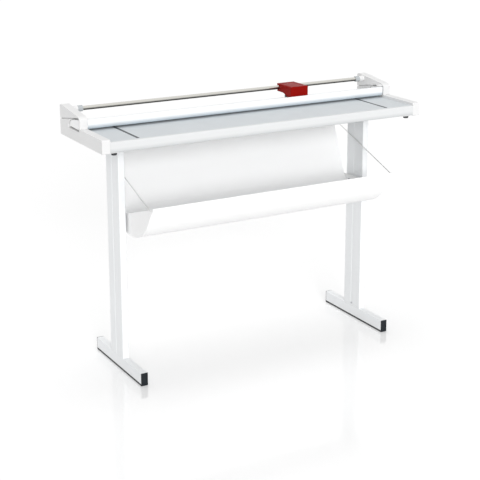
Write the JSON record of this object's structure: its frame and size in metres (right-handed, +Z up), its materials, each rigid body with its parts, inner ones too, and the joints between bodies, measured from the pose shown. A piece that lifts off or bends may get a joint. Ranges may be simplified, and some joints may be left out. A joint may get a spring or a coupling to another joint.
{
  "type": "sliding paper trimmer",
  "caption": "Free-standing rotary paper trimmer: table on a two-leg stand, guide shaft with sliding cutting head, clamp bar and catch tray for offcuts.",
  "frame": {"origin": "on the floor, under the middle of the whole trimmer's box", "axes": "+X along the cut to the operator's right, +Y to the rear, +Z up"},
  "size_m": [1.338, 0.4589, 0.9878],
  "materials": {
    "white_paint": "smooth white powder coat",
    "table_grey": "fine matt light grey coat",
    "tray_white": "matt white sheet",
    "rail_white": "white coated extrusion",
    "clamp_white": "white coated extrusion",
    "moulded_grey": "light grey moulding",
    "black_plastic": "matt black moulding",
    "dark_line": "dark inlaid strip",
    "rubber": "soft black rubber",
    "grey_rubber": "soft grey rubber",
    "white_moulding": "smooth white moulding",
    "ground_steel": "ground and polished",
    "blade_steel": "hardened and ground",
    "plain_steel": "plain",
    "zinc_screws": "zinc plated",
    "red_cover": "glossy red moulding",
    "chassis_metal": "die cast",
    "bronze": "sintered bronze",
    "felt": "felt"
  },
  "bodies": {
    "frame": {"left_foot_tube": "white_paint", "right_foot_tube": "white_paint", "left_front_foot_cap": "black_plastic", "left_rear_foot_cap": "black_plastic", "right_front_foot_cap": "black_plastic", "right_rear_foot_cap": "black_plastic", "left_foot_glide": "rubber", "right_foot_glide": "rubber", "left_post": "white_paint", "right_post": "white_paint", "left_post_plate": "white_paint", "right_post_plate": "white_paint", "post_inserts": "plain_steel", "foot_bolts": "zinc_screws", "table_bolts": "zinc_screws", "left_bearer": "white_paint", "right_bearer": "white_paint", "table_top": "table_grey", "left_side_line": "dark_line", "right_side_line": "dark_line", "front_rail": "rail_white", "front_stiffener": "white_paint", "rear_stiffener": "white_paint", "knife_carrier": "rail_white", "counter_knife": "blade_steel", "knife_screws": "zinc_screws", "rear_beam": "rail_white", "left_end_cap": "moulded_grey", "right_end_cap": "moulded_grey", "table_pads": "rubber", "left_end_block": "moulded_grey", "right_end_block": "moulded_grey", "guide_shaft": "ground_steel", "left_bumper": "grey_rubber", "right_bumper": "grey_rubber", "clamp_springs": "plain_steel", "tray_sheet": "tray_white", "left_tray_end": "tray_white", "right_tray_end": "tray_white", "left_stay": "plain_steel", "right_stay": "plain_steel", "tray_spacers": "black_plastic", "tray_screws": "zinc_screws"},
    "cutting_head": {"head_cover": "red_cover", "head_chassis": "chassis_metal", "roller_pins": "plain_steel", "cover_screws": "zinc_screws", "shaft_bushes": "bronze", "shaft_wipers": "felt", "blade_axle": "plain_steel", "blade_washer": "plain_steel", "blade_spring": "plain_steel"},
    "blade": {"cutting_blade": "blade_steel", "blade_hub": "plain_steel"},
    "left_roller": {"left_clamp_roller": "rubber"},
    "right_roller": {"right_clamp_roller": "rubber"},
    "clamp": {"clamp_bar": "clamp_white", "clamp_strips": "grey_rubber", "left_clamp_end": "white_moulding", "right_clamp_end": "white_moulding"}
  },
  "joints": [
    {"name": "head_slide", "type": "slide", "parent": "frame", "child": "cutting_head", "axis": [1, 0, 0], "range_m": [-0.8327, 0.2837]},
    {"name": "blade_spin", "type": "hinge", "parent": "cutting_head", "child": "blade", "pos_m": [0.2805, 0.15345, 0.9375], "axis": [0, 1, 0], "continuous": true},
    {"name": "left_roller_spin", "type": "hinge", "parent": "cutting_head", "child": "left_roller", "pos_m": [0.2545, 0.0885, 0.9483], "axis": [0, 1, 0], "continuous": true},
    {"name": "right_roller_spin", "type": "hinge", "parent": "cutting_head", "child": "right_roller", "pos_m": [0.2945, 0.0885, 0.9483], "axis": [0, 1, 0], "continuous": true},
    {"name": "clamp_press", "type": "slide", "parent": "frame", "child": "clamp", "axis": [0, 0, 1], "range_m": [-0.0055, 0], "stiffness_N_per_m": 4000, "springref_m": 0.012, "deforming": ["clamp_springs"]}
  ],
  "couplings": [
    {"joint": "blade_spin", "follows": "head_slide", "rad_per_m": 40},
    {"joint": "left_roller_spin", "follows": "head_slide", "rad_per_m": 125},
    {"joint": "right_roller_spin", "follows": "head_slide", "rad_per_m": 125}
  ]
}
